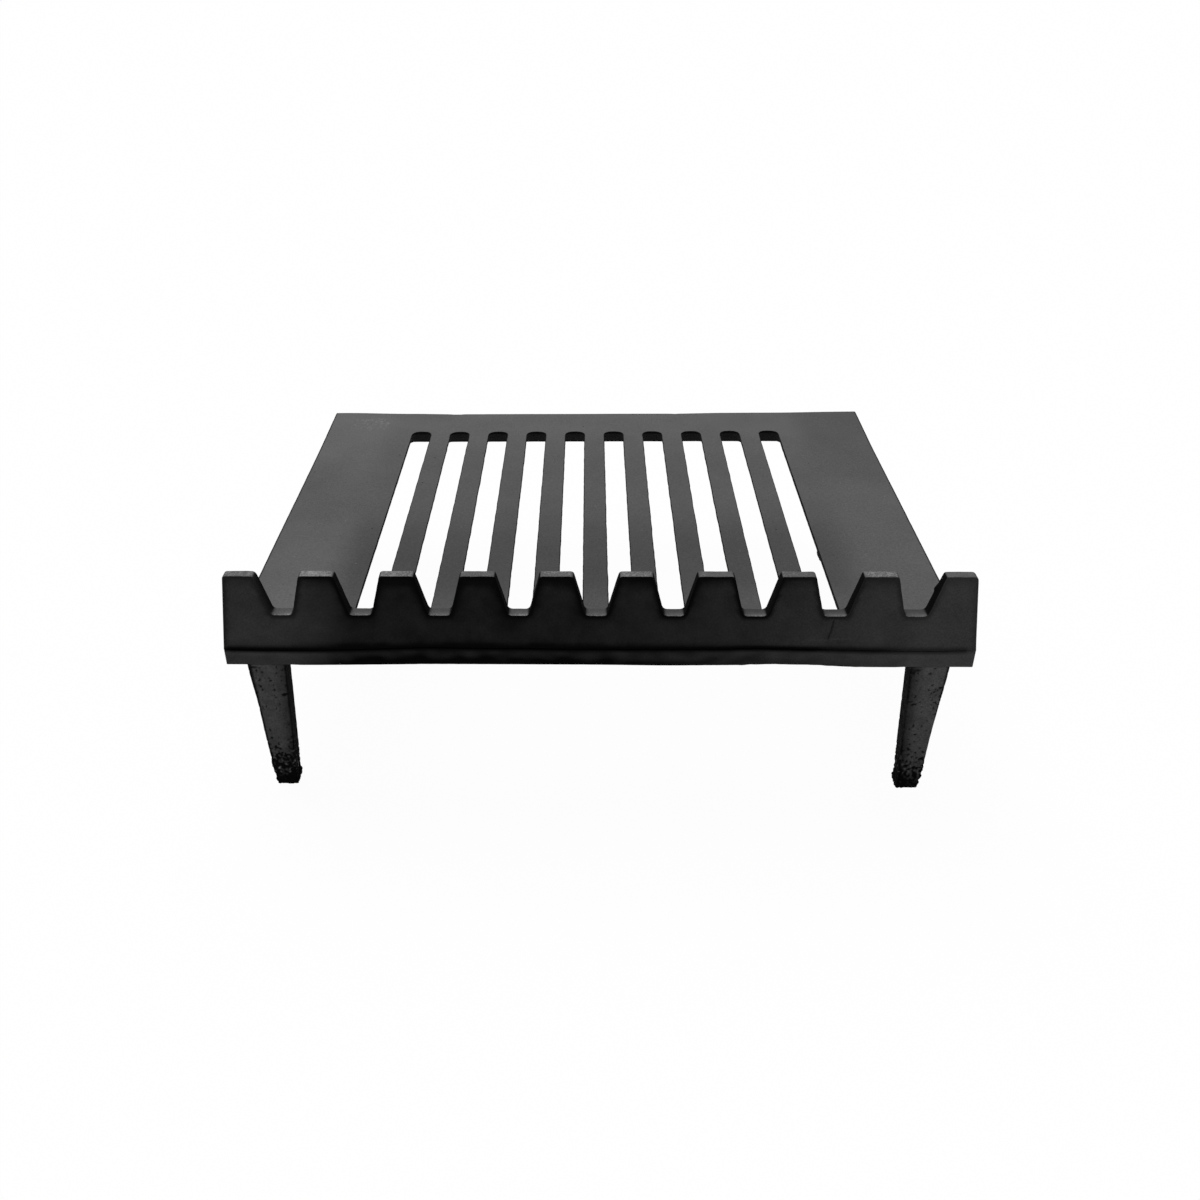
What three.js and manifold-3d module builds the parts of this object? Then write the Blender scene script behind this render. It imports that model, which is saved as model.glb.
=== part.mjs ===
// Cast-iron log grate: a slotted bed on four tapered legs, with a castellated
// fence along the front edge that keeps the logs from rolling out.
// Millimetres, +Z up, the fence faces -Y. The origin is on the floor, under the
// middle of the bed.

import * as THREE from 'three';
import { mergeVertices } from 'three/addons/utils/BufferGeometryUtils.js';
import Module from 'manifold-3d';

const wasm = await Module();
wasm.setup();

// ---------------------------------------------------------------- driving sizes
// Bed: a flat plate, pierced by fire bars' slots that run front to back.
const bedWidth = 400;
const bedDepth = 326;
const bedThickness = 10;
const bedCornerRadius = 1.2;

// Slots: round-ended, wider below than above, so that ash falls clear.
const slotCount = 10;
const slotWidth = 14;
const barWidth = 14.6;
const slotFlare = 4.4; // how far each wall falls back over the bed's thickness
const slotEndMargin = 35; // from the slot's end to the bed's front and rear edges

// Fence: an upright wall with evenly spaced notches, thicker at its foot than at
// its top. The teeth at its ends are a little narrower than the others.
const fenceHeight = 45.5; // above the bed's top
const fenceFootThickness = 8.8;
const fenceTopThickness = 5.9;
const fenceEndLean = 6.8; // how far each end leans in from foot to top
const notchCount = 9;
const notchPitch = 41.3;
const notchTopWidth = 23.4;
const notchFloorWidth = 11.4;
const notchDepth = 23.8;
const notchFloorRadius = 2.4;
const toothRadius = 1.8;

// Fence joint: a shallow rebate along the bed's front edge, and lugs on the
// fence's foot that drop into mortises through the bed.
const rebateDepth = 0.6;
const lugSpacing = 110;
const lugLength = 24;
const lugThickness = 4;

// Legs: tapered blocks. The front pair is flush with the bed's front edge, and the
// rear pair stands well in from its rear edge.
const legHeight = 85;
const legInset = 22; // from the bed's side edge to the leg's middle
const rearLegSetback = 58.5; // from the bed's rear edge to the rear legs' middle
const legTopWidth = 20;
const legFootWidth = 12;
const legTopDepth = 13;
const legFootDepth = 11.5;
const legCornerRadius = 1.3;
const footRounding = 2.3; // height of the blunt rounding round the foot
const soleShrink = 0.75; // how far the sole lies in, as a share of that rounding
const bluntShare = 0.3; // where the rounding turns, in from the side and up

// Leg joint: a tenon on the leg's head in a blind socket under the bed.
const tenonWidth = 12;
const tenonDepth = 7;
const tenonHeight = 6;

// Room left on every side of a lug or a tenon.
const fitClearance = 0.3;

// Surface finish: matt black stove paint over rough iron.
const ironColour = 0x35353a;
const ironRoughness = 0.78;
const ironMetalness = 0.25;

// ---------------------------------------------------------------- derived places
const undersideZ = legHeight;
const bedTopZ = undersideZ + bedThickness;
const seatZ = bedTopZ - rebateDepth;
const fenceTopZ = bedTopZ + fenceHeight;
const frontY = -bedDepth / 2;
const slotPitch = slotWidth + barWidth;
const slotLength = bedDepth - 2 * slotEndMargin;
const lugMiddleY = frontY + fenceFootThickness / 2;
const legX = bedWidth / 2 - legInset;
const frontLegY = frontY + legTopDepth / 2;
const rearLegY = bedDepth / 2 - rearLegSetback;
const cutOverrun = 1; // how far a cutter runs past the face that it opens

// ---------------------------------------------------------------- solids
// Joining and cutting works on solids, and the scene on their surfaces.
function toSolid(geometry) {
  const weldDistance = 1e-4;
  const bare = geometry.clone();
  bare.deleteAttribute('normal');
  bare.deleteAttribute('uv');
  const merged = mergeVertices(bare, weldDistance);
  return new wasm.Manifold(new wasm.Mesh({
    numProp: 3,
    vertProperties: new Float32Array(merged.attributes.position.array),
    triVerts: new Uint32Array(merged.index.array),
  }));
}

function toGeometry(solid) {
  const surface = solid.getMesh();
  const geometry = new THREE.BufferGeometry();
  const points = new THREE.BufferAttribute(new Float32Array(surface.vertProperties), 3);
  geometry.setAttribute('position', points);
  geometry.setIndex(new THREE.BufferAttribute(new Uint32Array(surface.triVerts), 1));
  geometry.computeVertexNormals();
  return geometry;
}

// A rectangle in plan with round corners, counter-clockwise about its middle.
function roundedRectangle(width, depth, radius) {
  const stepsPerCorner = 3;
  const outline = [];
  const corners = [[1, 1, 0], [-1, 1, 1], [-1, -1, 2], [1, -1, 3]];
  for (const [sideX, sideY, quarter] of corners) {
    for (let step = 0; step <= stepsPerCorner; step += 1) {
      const angle = (quarter + step / stepsPerCorner) * Math.PI / 2;
      const x = sideX * (width / 2 - radius) + radius * Math.cos(angle);
      const y = sideY * (depth / 2 - radius) + radius * Math.sin(angle);
      outline.push(new THREE.Vector2(x, y));
    }
  }
  return outline;
}

// A closed body through a stack of outlines in plan, each with its own height.
// All have the same number of points, and each is convex.
function stackedBody(levels) {
  const count = levels[0].outline.length;
  const positions = [];
  for (const { outline, z } of levels) {
    for (const point of outline) positions.push(point.x, point.y, z);
  }
  const triangles = [];
  for (let level = 0; level + 1 < levels.length; level += 1) {
    for (let i = 0; i < count; i += 1) {
      const next = (i + 1) % count;
      const low = level * count;
      const high = low + count;
      triangles.push(low + i, low + next, high + next);
      triangles.push(low + i, high + next, high + i);
    }
  }
  const lastLevel = (levels.length - 1) * count;
  for (let i = 1; i + 1 < count; i += 1) {
    triangles.push(0, i + 1, i);
    triangles.push(lastLevel, lastLevel + i, lastLevel + i + 1);
  }
  const geometry = new THREE.BufferGeometry();
  geometry.setAttribute('position', new THREE.Float32BufferAttribute(positions, 3));
  geometry.setIndex(triangles);
  return geometry;
}

// An outline drawn as seen from the front (x to the right, y up), given a depth
// from the front face backwards.
function uprightBody(shape, frontFaceY, depth) {
  const stepsPerCurve = 4;
  const geometry = new THREE.ExtrudeGeometry(shape, {
    depth,
    bevelEnabled: false,
    curveSegments: stepsPerCurve,
  });
  geometry.rotateX(Math.PI / 2);
  geometry.translate(0, frontFaceY + depth, 0);
  return geometry;
}

function block(width, depth, height, x, y, lowZ) {
  const geometry = new THREE.BoxGeometry(width, depth, height);
  geometry.translate(x, y, lowZ + height / 2);
  return geometry;
}

// ---------------------------------------------------------------- joint places
function lugPlaces() {
  return [-1, 0, 1].map((side) => side * lugSpacing);
}

function legPlaces() {
  return [
    { name: 'leg_front_left', x: -legX, y: frontLegY },
    { name: 'leg_front_right', x: legX, y: frontLegY },
    { name: 'leg_rear_left', x: -legX, y: rearLegY },
    { name: 'leg_rear_right', x: legX, y: rearLegY },
  ];
}

// ---------------------------------------------------------------- bed
// A slot in plan, a half round at each end, widened by that much all round.
function slotOutline(widening) {
  const radius = slotWidth / 2 + widening;
  const endMiddleY = slotLength / 2 + widening - radius;
  const stepsPerEnd = 10;
  const outline = [];
  for (const side of [1, -1]) {
    for (let step = 0; step <= stepsPerEnd; step += 1) {
      const angle = Math.PI * step / stepsPerEnd;
      const x = side * radius * Math.cos(angle);
      const y = side * (endMiddleY + radius * Math.sin(angle));
      outline.push(new THREE.Vector2(x, y));
    }
  }
  return outline;
}

function slotCutter(x) {
  const flarePerHeight = slotFlare / bedThickness;
  const overrunFlare = cutOverrun * flarePerHeight;
  const cutter = stackedBody([
    { outline: slotOutline(slotFlare + overrunFlare), z: undersideZ - cutOverrun },
    { outline: slotOutline(-overrunFlare), z: bedTopZ + cutOverrun },
  ]);
  cutter.translate(x, 0, 0);
  return cutter;
}

function makeBed() {
  const plan = roundedRectangle(bedWidth, bedDepth, bedCornerRadius);
  let solid = toSolid(stackedBody([
    { outline: plan, z: undersideZ },
    { outline: plan, z: bedTopZ },
  ]));
  for (let i = 0; i < slotCount; i += 1) {
    const x = (i - (slotCount - 1) / 2) * slotPitch;
    solid = solid.subtract(toSolid(slotCutter(x)));
  }
  const rebateWidth = fenceFootThickness + fitClearance;
  const rebate = block(
    bedWidth + 2 * cutOverrun,
    rebateWidth + cutOverrun,
    rebateDepth + cutOverrun,
    0,
    frontY + (rebateWidth - cutOverrun) / 2,
    seatZ,
  );
  solid = solid.subtract(toSolid(rebate));
  for (const x of lugPlaces()) {
    const mortise = block(
      lugLength + 2 * fitClearance,
      lugThickness + 2 * fitClearance,
      bedThickness + 2 * cutOverrun,
      x,
      lugMiddleY,
      undersideZ - cutOverrun,
    );
    solid = solid.subtract(toSolid(mortise));
  }
  for (const { x, y } of legPlaces()) {
    const socket = block(
      tenonWidth + 2 * fitClearance,
      tenonDepth + 2 * fitClearance,
      tenonHeight + fitClearance + cutOverrun,
      x,
      y,
      undersideZ - cutOverrun,
    );
    solid = solid.subtract(toSolid(socket));
  }
  return toGeometry(solid);
}

// ---------------------------------------------------------------- fence
// A corner of a drawn outline, rounded by a curve between its two sides.
function roundCorner(shape, before, corner, after, radius) {
  const reachBack = Math.min(radius, corner.distanceTo(before) / 2);
  const reachOn = Math.min(radius, corner.distanceTo(after) / 2);
  const start = corner.clone().add(before.clone().sub(corner).setLength(reachBack));
  const end = corner.clone().add(after.clone().sub(corner).setLength(reachOn));
  shape.lineTo(start.x, start.y);
  shape.quadraticCurveTo(corner.x, corner.y, end.x, end.y);
}

// The fence's front view: from the foot's left end over the teeth to the right.
function fenceShape() {
  const halfFoot = bedWidth / 2;
  const halfTop = halfFoot - fenceEndLean;
  const floorZ = fenceTopZ - notchDepth;
  const corners = [];
  const addCorner = (x, z, radius) => {
    corners.push({ point: new THREE.Vector2(x, z), radius });
  };
  addCorner(-halfTop, fenceTopZ, toothRadius);
  for (let i = 0; i < notchCount; i += 1) {
    const middleX = (i - (notchCount - 1) / 2) * notchPitch;
    const leftX = middleX - notchTopWidth / 2;
    const floorLeftX = leftX + (notchTopWidth - notchFloorWidth) / 2;
    addCorner(leftX, fenceTopZ, toothRadius);
    addCorner(floorLeftX, floorZ, notchFloorRadius);
    addCorner(floorLeftX + notchFloorWidth, floorZ, notchFloorRadius);
    addCorner(leftX + notchTopWidth, fenceTopZ, toothRadius);
  }
  addCorner(halfTop, fenceTopZ, toothRadius);

  const footLeft = new THREE.Vector2(-halfFoot, seatZ);
  const footRight = new THREE.Vector2(halfFoot, seatZ);
  const shape = new THREE.Shape();
  shape.moveTo(footLeft.x, footLeft.y);
  corners.forEach(({ point, radius }, i) => {
    const before = i === 0 ? footLeft : corners[i - 1].point;
    const after = i === corners.length - 1 ? footRight : corners[i + 1].point;
    roundCorner(shape, before, point, after, radius);
  });
  shape.lineTo(footRight.x, footRight.y);
  shape.closePath();
  return shape;
}

// What the fence keeps behind its plumb front face: all that lies in front of a
// rear face that leans forward from the foot to the top.
function fenceWedge() {
  const reach = bedWidth / 2 + cutOverrun;
  const lowZ = seatZ - cutOverrun;
  const highZ = fenceTopZ + cutOverrun;
  const leanPerHeight = (fenceFootThickness - fenceTopThickness) / (fenceTopZ - seatZ);
  const thicknessAt = (z) => fenceFootThickness - (z - seatZ) * leanPerHeight;
  const planAt = (z) => [
    new THREE.Vector2(-reach, frontY - cutOverrun),
    new THREE.Vector2(reach, frontY - cutOverrun),
    new THREE.Vector2(reach, frontY + thicknessAt(z)),
    new THREE.Vector2(-reach, frontY + thicknessAt(z)),
  ];
  return stackedBody([
    { outline: planAt(lowZ), z: lowZ },
    { outline: planAt(highZ), z: highZ },
  ]);
}

function makeFence() {
  const wall = uprightBody(fenceShape(), frontY, fenceFootThickness);
  let solid = toSolid(wall).intersect(toSolid(fenceWedge()));
  const lugHeight = bedThickness - rebateDepth;
  for (const x of lugPlaces()) {
    const lug = block(
      lugLength,
      lugThickness,
      lugHeight + cutOverrun,
      x,
      lugMiddleY,
      undersideZ,
    );
    solid = solid.add(toSolid(lug));
  }
  return toGeometry(solid);
}

// ---------------------------------------------------------------- legs
// One leg about its own middle: foot on the floor, head under the bed, tenon up.
function makeLeg() {
  const levelAt = (z, shrink) => {
    const share = z / legHeight;
    const width = THREE.MathUtils.lerp(legFootWidth, legTopWidth, share) - 2 * shrink;
    const depth = THREE.MathUtils.lerp(legFootDepth, legTopDepth, share) - 2 * shrink;
    return { outline: roundedRectangle(width, depth, legCornerRadius), z };
  };
  const shaft = stackedBody([
    levelAt(0, footRounding * soleShrink),
    levelAt(footRounding * bluntShare, footRounding * bluntShare),
    levelAt(footRounding, 0),
    levelAt(legHeight, 0),
  ]);
  const tenon = block(
    tenonWidth,
    tenonDepth,
    tenonHeight + cutOverrun,
    0,
    0,
    legHeight - cutOverrun,
  );
  return toGeometry(toSolid(shaft).add(toSolid(tenon)));
}

// ---------------------------------------------------------------- assembly
function castIron() {
  return new THREE.MeshStandardMaterial({
    color: ironColour,
    roughness: ironRoughness,
    metalness: ironMetalness,
  });
}

function piece(name, geometry) {
  const mesh = new THREE.Mesh(geometry, castIron());
  mesh.name = name;
  return mesh;
}

const logGrate = new THREE.Group();
logGrate.add(piece('slotted_bed', makeBed()));
logGrate.add(piece('front_fence', makeFence()));
for (const { name, x, y } of legPlaces()) {
  const leg = piece(name, makeLeg());
  leg.position.set(x, y, 0);
  logGrate.add(leg);
}

export default logGrate;
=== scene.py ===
import math
import random

import bmesh
import bpy
from mathutils import Matrix, Vector, noise
from mathutils.geometry import delaunay_2d_cdt


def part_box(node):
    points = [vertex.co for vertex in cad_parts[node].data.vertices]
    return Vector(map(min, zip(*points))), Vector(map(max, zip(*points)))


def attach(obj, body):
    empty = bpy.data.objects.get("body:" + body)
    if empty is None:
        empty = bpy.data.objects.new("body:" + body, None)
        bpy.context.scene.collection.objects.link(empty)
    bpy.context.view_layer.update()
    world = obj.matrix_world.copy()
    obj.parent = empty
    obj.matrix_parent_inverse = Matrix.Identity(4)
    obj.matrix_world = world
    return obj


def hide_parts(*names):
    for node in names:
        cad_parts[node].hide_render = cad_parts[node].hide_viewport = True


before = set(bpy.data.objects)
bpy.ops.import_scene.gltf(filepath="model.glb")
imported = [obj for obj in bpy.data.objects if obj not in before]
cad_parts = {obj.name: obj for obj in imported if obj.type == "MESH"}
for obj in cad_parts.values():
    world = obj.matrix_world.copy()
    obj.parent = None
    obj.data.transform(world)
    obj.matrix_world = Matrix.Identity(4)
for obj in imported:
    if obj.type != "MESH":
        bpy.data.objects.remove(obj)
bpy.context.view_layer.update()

# ---------------------------------------------------------------- camera
# It stands in front of the fence, about 0.44 m over the floor, and looks down on the
# bed. It is turned a little to the left and isn't quite level.
MM = 0.001  # the grate's sizes below are in millimetres
camera_data = bpy.data.cameras.new("photograph_view")
camera = bpy.data.objects.new("photograph_view", camera_data)
bpy.context.scene.collection.objects.link(camera)
bpy.context.scene.camera = camera

camera_place = Vector((-4.08, -671.8, 439.29)) * MM
camera_down = math.radians(31.54)
camera_left = math.radians(2.11)
camera_roll = math.radians(-0.99)
look = Vector((
    -math.sin(camera_left) * math.cos(camera_down),
    math.cos(camera_left) * math.cos(camera_down),
    -math.sin(camera_down),
))
level_right = Vector((math.cos(camera_left), math.sin(camera_left), 0.0))
level_up = level_right.cross(look)
right = level_right * math.cos(camera_roll) + level_up * math.sin(camera_roll)
up = level_up * math.cos(camera_roll) - level_right * math.sin(camera_roll)
turned = Matrix((right, up, -look)).transposed().to_4x4()
camera.matrix_world = Matrix.Translation(camera_place) @ turned

picture_width = 1200.0  # pixels
focal_length = 1153.44  # pixels
lens_middle = Vector((552.23, 599.33))  # where the lens points, in pixels
camera_data.sensor_width = 36.0
camera_data.lens = camera_data.sensor_width * focal_length / picture_width
camera_data.shift_x = (picture_width / 2 - lens_middle.x) / picture_width
camera_data.shift_y = (lens_middle.y - picture_width / 2) / picture_width
camera_data.clip_start = 0.01
camera_data.clip_end = 100.0

# ---------------------------------------------------------------- bed
# The bed is one flat sand casting in grey iron, 10 mm thick, with ten slots that
# widen downwards so that ash falls clear and the pattern draws from the sand. The
# fence stands in a shallow rebate along its front, and the legs are let in below.
bed_low, bed_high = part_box("slotted_bed")
bed_width = (bed_high.x - bed_low.x) / MM
bed_depth = (bed_high.y - bed_low.y) / MM
underside = bed_low.z / MM
bed_top = bed_high.z / MM
bed_thickness = bed_top - underside
front_y = -bed_depth / 2

slot_count = 10
slot_radius = 6.85  # where a slot is narrowest, just under its rounded edge
slot_pitch = 28.6
slot_half_length = 128.0
slot_flare = 4.4
slot_side_flare = 3.3  # the slots' sides lean less than their ends
rebate_width = 9.1
rebate_drop = 0.6
joint_depth = 1.3  # how far in the joint under the fence is open
filled_x = 196.5  # and how far out to each side, before it is filled there too
joint_filling = 0.67  # how much of the rebate's depth the filling takes up
mortise_x = (-110.0, 0.0, 110.0)
mortise_half = (12.3, 2.3)
mortise_y = front_y + 4.4
leg_boxes = [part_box("leg_front_right"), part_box("leg_rear_right")]
leg_middles = [(low + high) / 2 / MM for low, high in leg_boxes]
leg_x = leg_middles[0].x
leg_rows = [middle.y for middle in leg_middles]
socket_half = (6.3, 3.8)
socket_depth = 6.3


class Casting:
    """The skin of one casting while it is laid out: points in millimetres, how rubbed or
    highlit (over 0), or sooty or shaded (under 0) the iron is painted at each point, and faces."""

    def __init__(self):
        self.points = []
        self.tone = []
        self.faces = []

    def ring(self, points, tone=0.0):
        """Adds a line of points and returns their numbers. tone is one value for all
        of them, or a list with a value for each."""
        first = len(self.points)
        self.points += [Vector(p) for p in points]
        count = len(self.points) - first
        self.tone += tone if isinstance(tone, list) else [tone] * count
        return list(range(first, len(self.points)))

    def wall(self, ring, other, closed=True):
        """Faces between two lines that have as many points each."""
        for i in range(len(ring) if closed else len(ring) - 1):
            j = (i + 1) % len(ring)
            self.faces.append((ring[i], ring[j], other[j], other[i]))

    def skin(self, rings, inner, flat):
        """Covers what lies inside the first closed line and outside the others, by
        triangles through the inner points. flat gives a point's place on the face."""
        numbers = [n for ring in rings for n in ring] + list(inner)
        places = [Vector(flat(self.points[n])) for n in numbers]
        edges = []
        owner = []
        for which, ring in enumerate(rings):
            first = len(owner)
            count = len(ring)
            edges += [(first + i, first + (i + 1) % count) for i in range(count)]
            owner += [which] * count
        owner += [-1] * len(inner)
        spread = delaunay_2d_cdt(places, edges, [], 0, 1e-6, True)
        for triangle in spread[2]:
            corners = [spread[3][v][0] for v in triangle]
            owners = {owner[c] for c in corners}
            middle = sum((places[c] for c in corners), Vector((0.0, 0.0))) / 3
            which = owners.pop()
            if not owners and which >= 0:
                line = [Vector(flat(self.points[n])) for n in rings[which]]
                if encloses(line, middle) != (which == 0):
                    continue
            self.faces.append(tuple(numbers[c] for c in corners))

    def cap(self, ring, middle, tone=0.0):
        """Closes a ring by a fan about one more point."""
        hub = self.ring([middle], tone)[0]
        for i in range(len(ring)):
            self.faces.append((ring[i], ring[(i + 1) % len(ring)], hub))

    def finish(self, name, material):
        """The mesh object, in metres, with its faces turned outwards."""
        mesh = bpy.data.meshes.new(name)
        mesh.from_pydata([p * MM for p in self.points], [], self.faces)
        shape = bmesh.new()
        shape.from_mesh(mesh)
        bmesh.ops.recalc_face_normals(shape, faces=shape.faces)
        shape.to_mesh(mesh)
        shape.free()
        mesh.shade_smooth()
        attribute = mesh.attributes.new("tone", "FLOAT", "POINT")
        attribute.data.foreach_set("value", self.tone)
        mesh.materials.append(material)
        piece = bpy.data.objects.new(name, mesh)
        bpy.context.scene.collection.objects.link(piece)
        return piece


def encloses(line, place):
    """True if the closed line goes round the place."""
    inside = False
    before = line[-1]
    for point in line:
        if (point.y > place.y) != (before.y > place.y):
            share = (place.y - point.y) / (before.y - point.y)
            if place.x < point.x + share * (before.x - point.x):
                inside = not inside
        before = point
    return inside


def smooth_step(low, high, value):
    """0 at low, 1 at high and a soft change between them, whichever is greater."""
    share = min(max((value - low) / (high - low), 0.0), 1.0)
    return share * share * (3 - 2 * share)


def wander(place, length, seed=0.0):
    """A soft random value from about -1 to 1 that changes over that length."""
    return noise.noise(Vector(place) / length + Vector((seed, seed * 1.7, 0.0)))


def hump(value, middle, reach, power=2):
    """1 at its middle, about a third one reach away and next to nothing at two. A
    higher power gives it a flatter top and steeper sides."""
    return math.exp(-(((value - middle) / reach) ** power))


def profile(value, start, rises, humps=()):
    """A soft line along the casting: a start, rises (from, to, by how much) and
    humps (where, reach, how high)."""
    level = start
    for low, high, rise in rises:
        level += rise * smooth_step(low, high, value)
    for middle, reach, height in humps:
        level += height * hump(value, middle, reach)
    return level


def lip(radius, steps=4):
    """How far in and how far down a rounded edge is, from the flat to the wall."""
    turns = [math.pi / 2 * step / steps for step in range(steps + 1)]
    return [(radius * (1 - math.sin(a)), radius * (1 - math.cos(a))) for a in turns]


def rounded_rectangle(half_x, half_y, radius, spacing, steps=5):
    """A rectangle's outline with round corners: (point, outward direction) pairs."""
    line = []
    corners = ((1, 1), (-1, 1), (-1, -1), (1, -1))
    for quarter, (side_x, side_y) in enumerate(corners):
        middle = Vector((side_x * (half_x - radius), side_y * (half_y - radius)))
        for step in range(steps + 1):
            angle = (quarter + step / steps) * math.pi / 2
            away = Vector((math.cos(angle), math.sin(angle)))
            line.append((middle + away * radius, away))
        along_x = quarter % 2 == 0
        run = 2 * ((half_x if along_x else half_y) - radius)
        pieces = max(1, round(run / spacing))
        start, away = line[-1]
        heading = Vector((-away.y, away.x))
        for step in range(1, pieces):
            line.append((start + heading * (run * step / pieces), away))
    return line


def squared(away, power):
    """How much further out a squarer end lies than a round one, in that direction."""
    return (abs(away.x) ** power + abs(away.y) ** power) ** (-1.0 / power)


def slot_line(middle_x):
    """A slot's outline at its narrowest, with directions away from its middle."""
    end_steps = 14
    side_steps = 84
    straight = slot_half_length - slot_radius
    line = []
    for side in (1, -1):
        for step in range(end_steps + 1):
            angle = math.pi * step / end_steps
            away = Vector((side * math.cos(angle), side * math.sin(angle)))
            middle = Vector((middle_x, side * straight))
            line.append((middle + away * slot_radius, away))
        for step in range(1, side_steps):
            y = side * straight * (1 - 2 * step / side_steps)
            line.append((Vector((middle_x - side * slot_radius, y)), Vector((-side, 0.0))))
    return line


def bed_sag(x, y):
    """How far the bed's top lies below true, where the mould gave a little."""
    clear_of_fence = smooth_step(front_y + 10.0, front_y + 26.0, y)
    return clear_of_fence * (0.05 + 0.10 * wander((x, y, 0.0), 62.0, 3.0))


def bed_warp(x, y):
    """How far the casting has lifted at its rear corners as it cooled."""
    left = ((-105.0, -140.0, 0.5), (-140.0, -195.0, 0.9))
    right_side = ((60.0, 100.0, 0.6), (140.0, 195.0, 0.7))
    return smooth_step(90.0, 163.0, y) * profile(x, 0.0, left + right_side)


scab_middle = (-167.0, 142.0)
scab_reach = (21.0, 15.0)


def bed_scabs(x, y):
    """Small bumps where the sand had crumbled, by the bed's rear left corner."""
    across = (x - scab_middle[0]) / scab_reach[0]
    deep = (y - scab_middle[1]) / scab_reach[1]
    near = 1.0 - smooth_step(0.35, 1.15, math.hypot(across, deep))
    return near * 0.55 * max(0.0, wander((x, y, 5.0), 2.1, 9.0) - 0.02)


def by_front(y):
    """1 at the bed's front face, falling evenly to 0 behind the fence's foot."""
    return min(max((front_y + 8.0 - y) / 7.0, 0.0), 1.0)


def crease_lift(x, y):
    """How far the joint between bed and fence has bowed up along the front."""
    rises = (
        (-172.0, -198.0, 0.3), (-152.0, -92.0, 1.5), (-62.0, -20.0, -0.5),
        (8.0, 52.0, 0.45), (104.0, 178.0, -1.05), (174.0, 196.0, 0.45),
    )
    humps = ((-86.0, 15.0, 0.4), (-35.0, 14.0, 0.4), (5.0, 20.0, 0.25), (87.0, 17.0, 0.65))
    ragged = smooth_step(-5.0, 30.0, x) * smooth_step(175.0, 140.0, x)
    bow = profile(x, -0.2, rises, humps)
    bow += (0.06 + 0.18 * ragged) * wander((x, 0.0, 0.0), 6.0, 21.0)
    return bow * by_front(y)


def foot_lift(x, y):
    """How far the front edge's underside has bowed up with it."""
    humps = ((36.0, 24.0, -0.38), (95.0, 13.0, 0.85), (116.0, 7.0, 0.4), (155.0, 8.0, -0.5))
    between_legs = smooth_step(-165.0, -70.0, x) * smooth_step(148.0, 108.0, x)
    ragged = smooth_step(50.0, 80.0, x) * smooth_step(150.0, 138.0, x)
    bow = 0.95 * between_legs + profile(x, 0.0, (), humps)
    bow += (0.04 + 0.26 * ragged) * wander((x, 0.0, 0.0), 4.0, 6.0)
    clear_of_legs = smooth_step(-166.0, -158.0, x) * smooth_step(166.0, 158.0, x)
    return (max(bow, 0.0) - 0.3 * clear_of_legs) * by_front(y)


def front_painted_shade(x):
    """Painted shade on the grate's front: how dark it is painted, least at its right end."""
    left_end = 0.68 * smooth_step(-122.0, -172.0, x)
    right_end = min(max((x + 60.0) / 240.0, 0.0), 1.0) ** 2
    return 1.0 - max(left_end, right_end)


def crease_painted_shade(x):
    """How dark the joint at the fence's foot is painted, as painted shade: near its right end it
    is filled.
    """
    filled = ((113.0, 125.0, -0.12), (146.0, 168.0, -0.25), (193.5, 196.0, -0.35))
    return profile(x, 1.0, filled)


def bed_top_painted_shade(x, y):
    """Painted shade on the bed's top, for how the light falls off: darkest on the bars' front
    halves.
    """
    left = smooth_step(-140.0, -165.0, x)
    right_side = smooth_step(140.0, 165.0, x)
    on_bars = ((140.0, 70.0, 0.13), (30.0, -60.0, 0.21), (-85.0, -118.0, -0.12))
    on_left = ((120.0, 30.0, 0.20), (0.0, -60.0, -0.08), (-85.0, -118.0, -0.13))
    on_right = ((20.0, 110.0, 0.08),)
    shade = (1.0 - left - right_side) * profile(y, 0.13, on_bars)
    shade += left * profile(y, 0.03, on_left) + right_side * profile(y, 0.22, on_right)
    return -max(shade, 0.0)


def bed_point(place, height):
    """A point of the bed from its plan and its height over the underside."""
    x, y = place
    share = height / bed_thickness
    drop = rebate_drop * (1.0 - smooth_step(0.0, 0.2, y - front_y - rebate_width))
    behind = smooth_step(joint_depth, joint_depth + 0.5, y - front_y)
    beyond = smooth_step(filled_x - 1.0, filled_x + 0.5, abs(x))
    drop *= 1.0 - joint_filling * max(behind, beyond)
    lift = share * (bed_warp(x, y) + crease_lift(x, y)) + (1 - share) * foot_lift(x, y)
    if share > 0.99:
        lift += bed_scabs(x, y)
    return (x, y, underside + height - share * (drop + bed_sag(x, y)) + lift)


def bed_edge_wear(x, y, height):
    """How far the bed's outer edge is eaten in: two chips behind, a crack and a rough
    patch in front, and ripples all round."""
    on_front = y <= front_y + 4.0
    if on_front and abs(x) > bed_width / 2 - 1.0:
        return 0.0
    ripple = max(0.02 + 0.08 * wander((x, y, height), 11.0, 1.0), 0.0)
    fine = max(0.02 + 0.06 * wander((x, y, height), 3.1, 2.0), 0.0)
    if on_front:
        crack = 0.7 * hump(x, 119.7, 1.6) * hump(height, 7.0, 1.2)
        blotch = 0.5 + 0.5 * wander((x, height, 0.0), 4.0, 4.0)
        rough = 0.25 * blotch * hump(x, -93.0, 15.0)
        return 0.6 * (ripple + fine) + crack + rough
    chips = 1.3 * hump(x, -106.0, 3.4) + 0.45 * hump(x, 62.0, 2.2)
    return ripple + fine + smooth_step(3.0, 9.0, height) * (chips if y > 0 else 0.0)


bed = Casting()
outer_radius = 0.45
plan_radius = 0.8
foot_radius = 0.2
support = 0.35  # a flat band between a rounded edge and the face beyond it
front_strip = front_y + 1.0  # the outline's points before it are on the front face
outer_line = rounded_rectangle(bed_width / 2, bed_depth / 2, plan_radius, spacing=1.6)
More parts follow.
